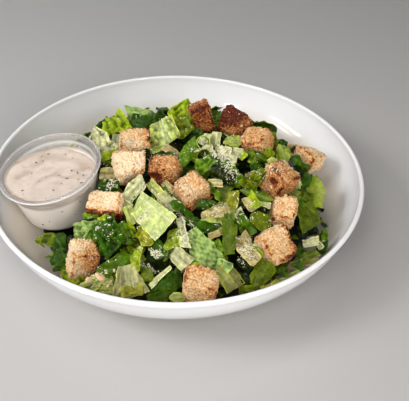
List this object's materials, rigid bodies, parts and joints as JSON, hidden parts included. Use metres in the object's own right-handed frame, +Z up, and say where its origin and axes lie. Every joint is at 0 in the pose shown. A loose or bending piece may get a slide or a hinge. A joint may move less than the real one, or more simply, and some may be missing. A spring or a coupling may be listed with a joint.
{
  "type": "caesar salad",
  "caption": "Caesar salad: cut romaine with croutons and grated cheese heaped in a shallow white bowl, with a clear cup of dressing leaning at one side.",
  "frame": {"origin": "centre of the bowl's foot, on the surface that it stands on", "axes": "+Z up out of the bowl; +X to the right and +Y away from a viewer who has the cup of dressing on the left"},
  "size_m": [0.26, 0.26, 0.0687],
  "materials": {
    "bowl": "smooth white glaze, glossy",
    "lettuce": "damp romaine leaf, dark green to yellow-green with pale ribs, softly glossy",
    "cup": "clear thin plastic, glossy",
    "dressing": "creamy white dressing with pepper specks, smooth and wet",
    "crouton": "toasted bread, rough and porous, browned at edges",
    "cheese": "finely grated hard cheese, dry and crumbly",
    "pepper": "coarsely ground black pepper"
  },
  "bodies": {
    "root": {"bowl": "bowl", "lettuce_heap": "lettuce", "dressing_cup": "cup", "dressing": "dressing", "crouton_01": "crouton", "crouton_02": "crouton", "crouton_03": "crouton", "crouton_04": "crouton", "crouton_05": "crouton", "crouton_06": "crouton", "crouton_07": "crouton", "crouton_08": "crouton", "crouton_09": "crouton", "crouton_10": "crouton", "crouton_11": "crouton", "crouton_12": "crouton", "crouton_13": "crouton", "crouton_14": "crouton"}
  },
  "joints": []
}
